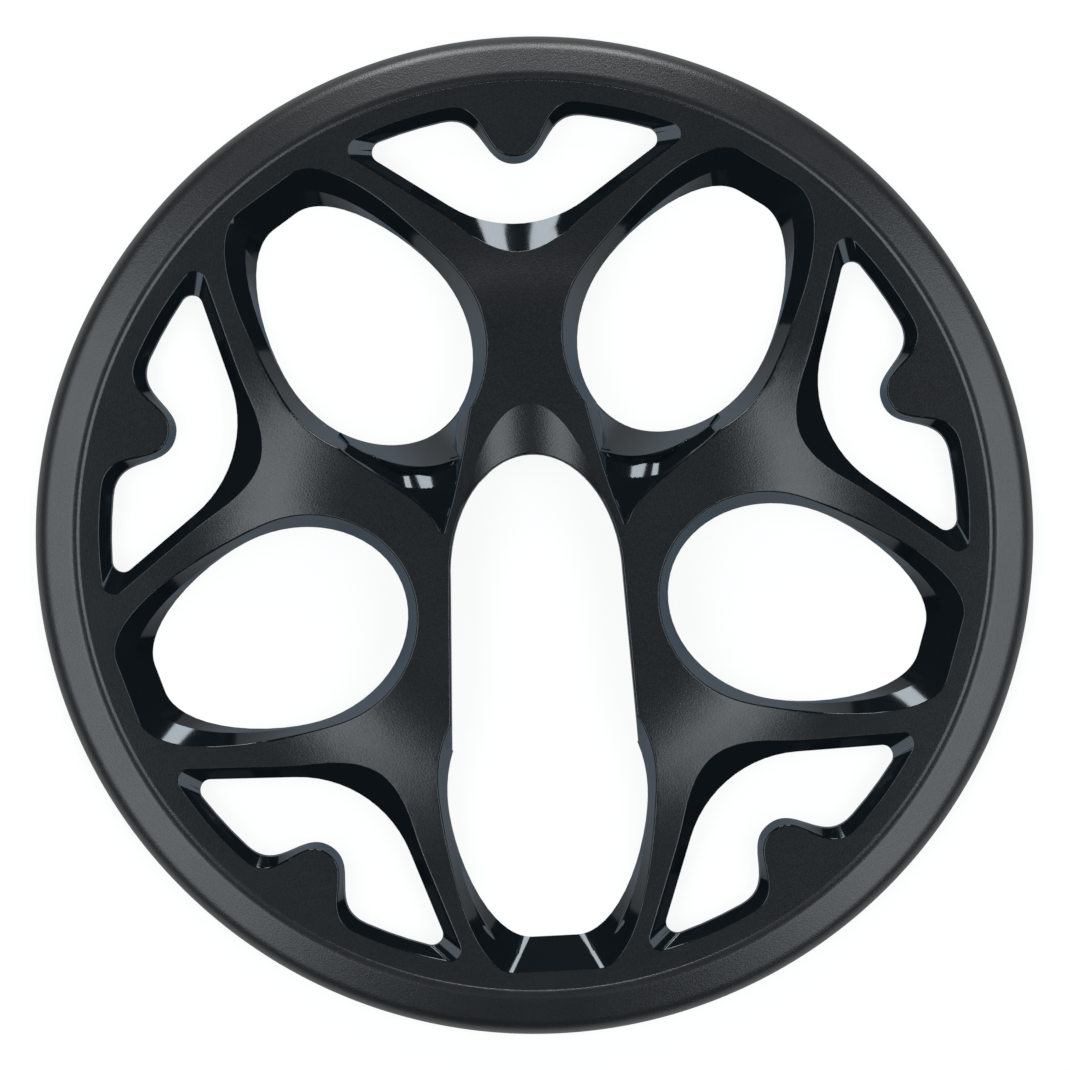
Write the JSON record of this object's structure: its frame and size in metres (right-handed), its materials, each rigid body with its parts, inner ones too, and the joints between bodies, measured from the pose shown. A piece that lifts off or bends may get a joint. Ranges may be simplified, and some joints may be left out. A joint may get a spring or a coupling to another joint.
{
  "type": "bicycle chain guard",
  "caption": "Round dished bicycle chain guard with curved spokes, egg-shaped and forked windows, a slot for the crank arm and screw bosses behind the rim.",
  "frame": {"origin": "on the crank axis, in the plane of the back", "axes": "+Z along the crank axis out of the front, +Y along the upper spoke, the crank slot towards -Y"},
  "size_m": [0.208, 0.208, 0.0115],
  "materials": {
    "black_plastic": "fine satin grain on the front, polished on the window walls"
  },
  "bodies": {
    "root": {"chain_guard": "black_plastic"}
  },
  "joints": []
}
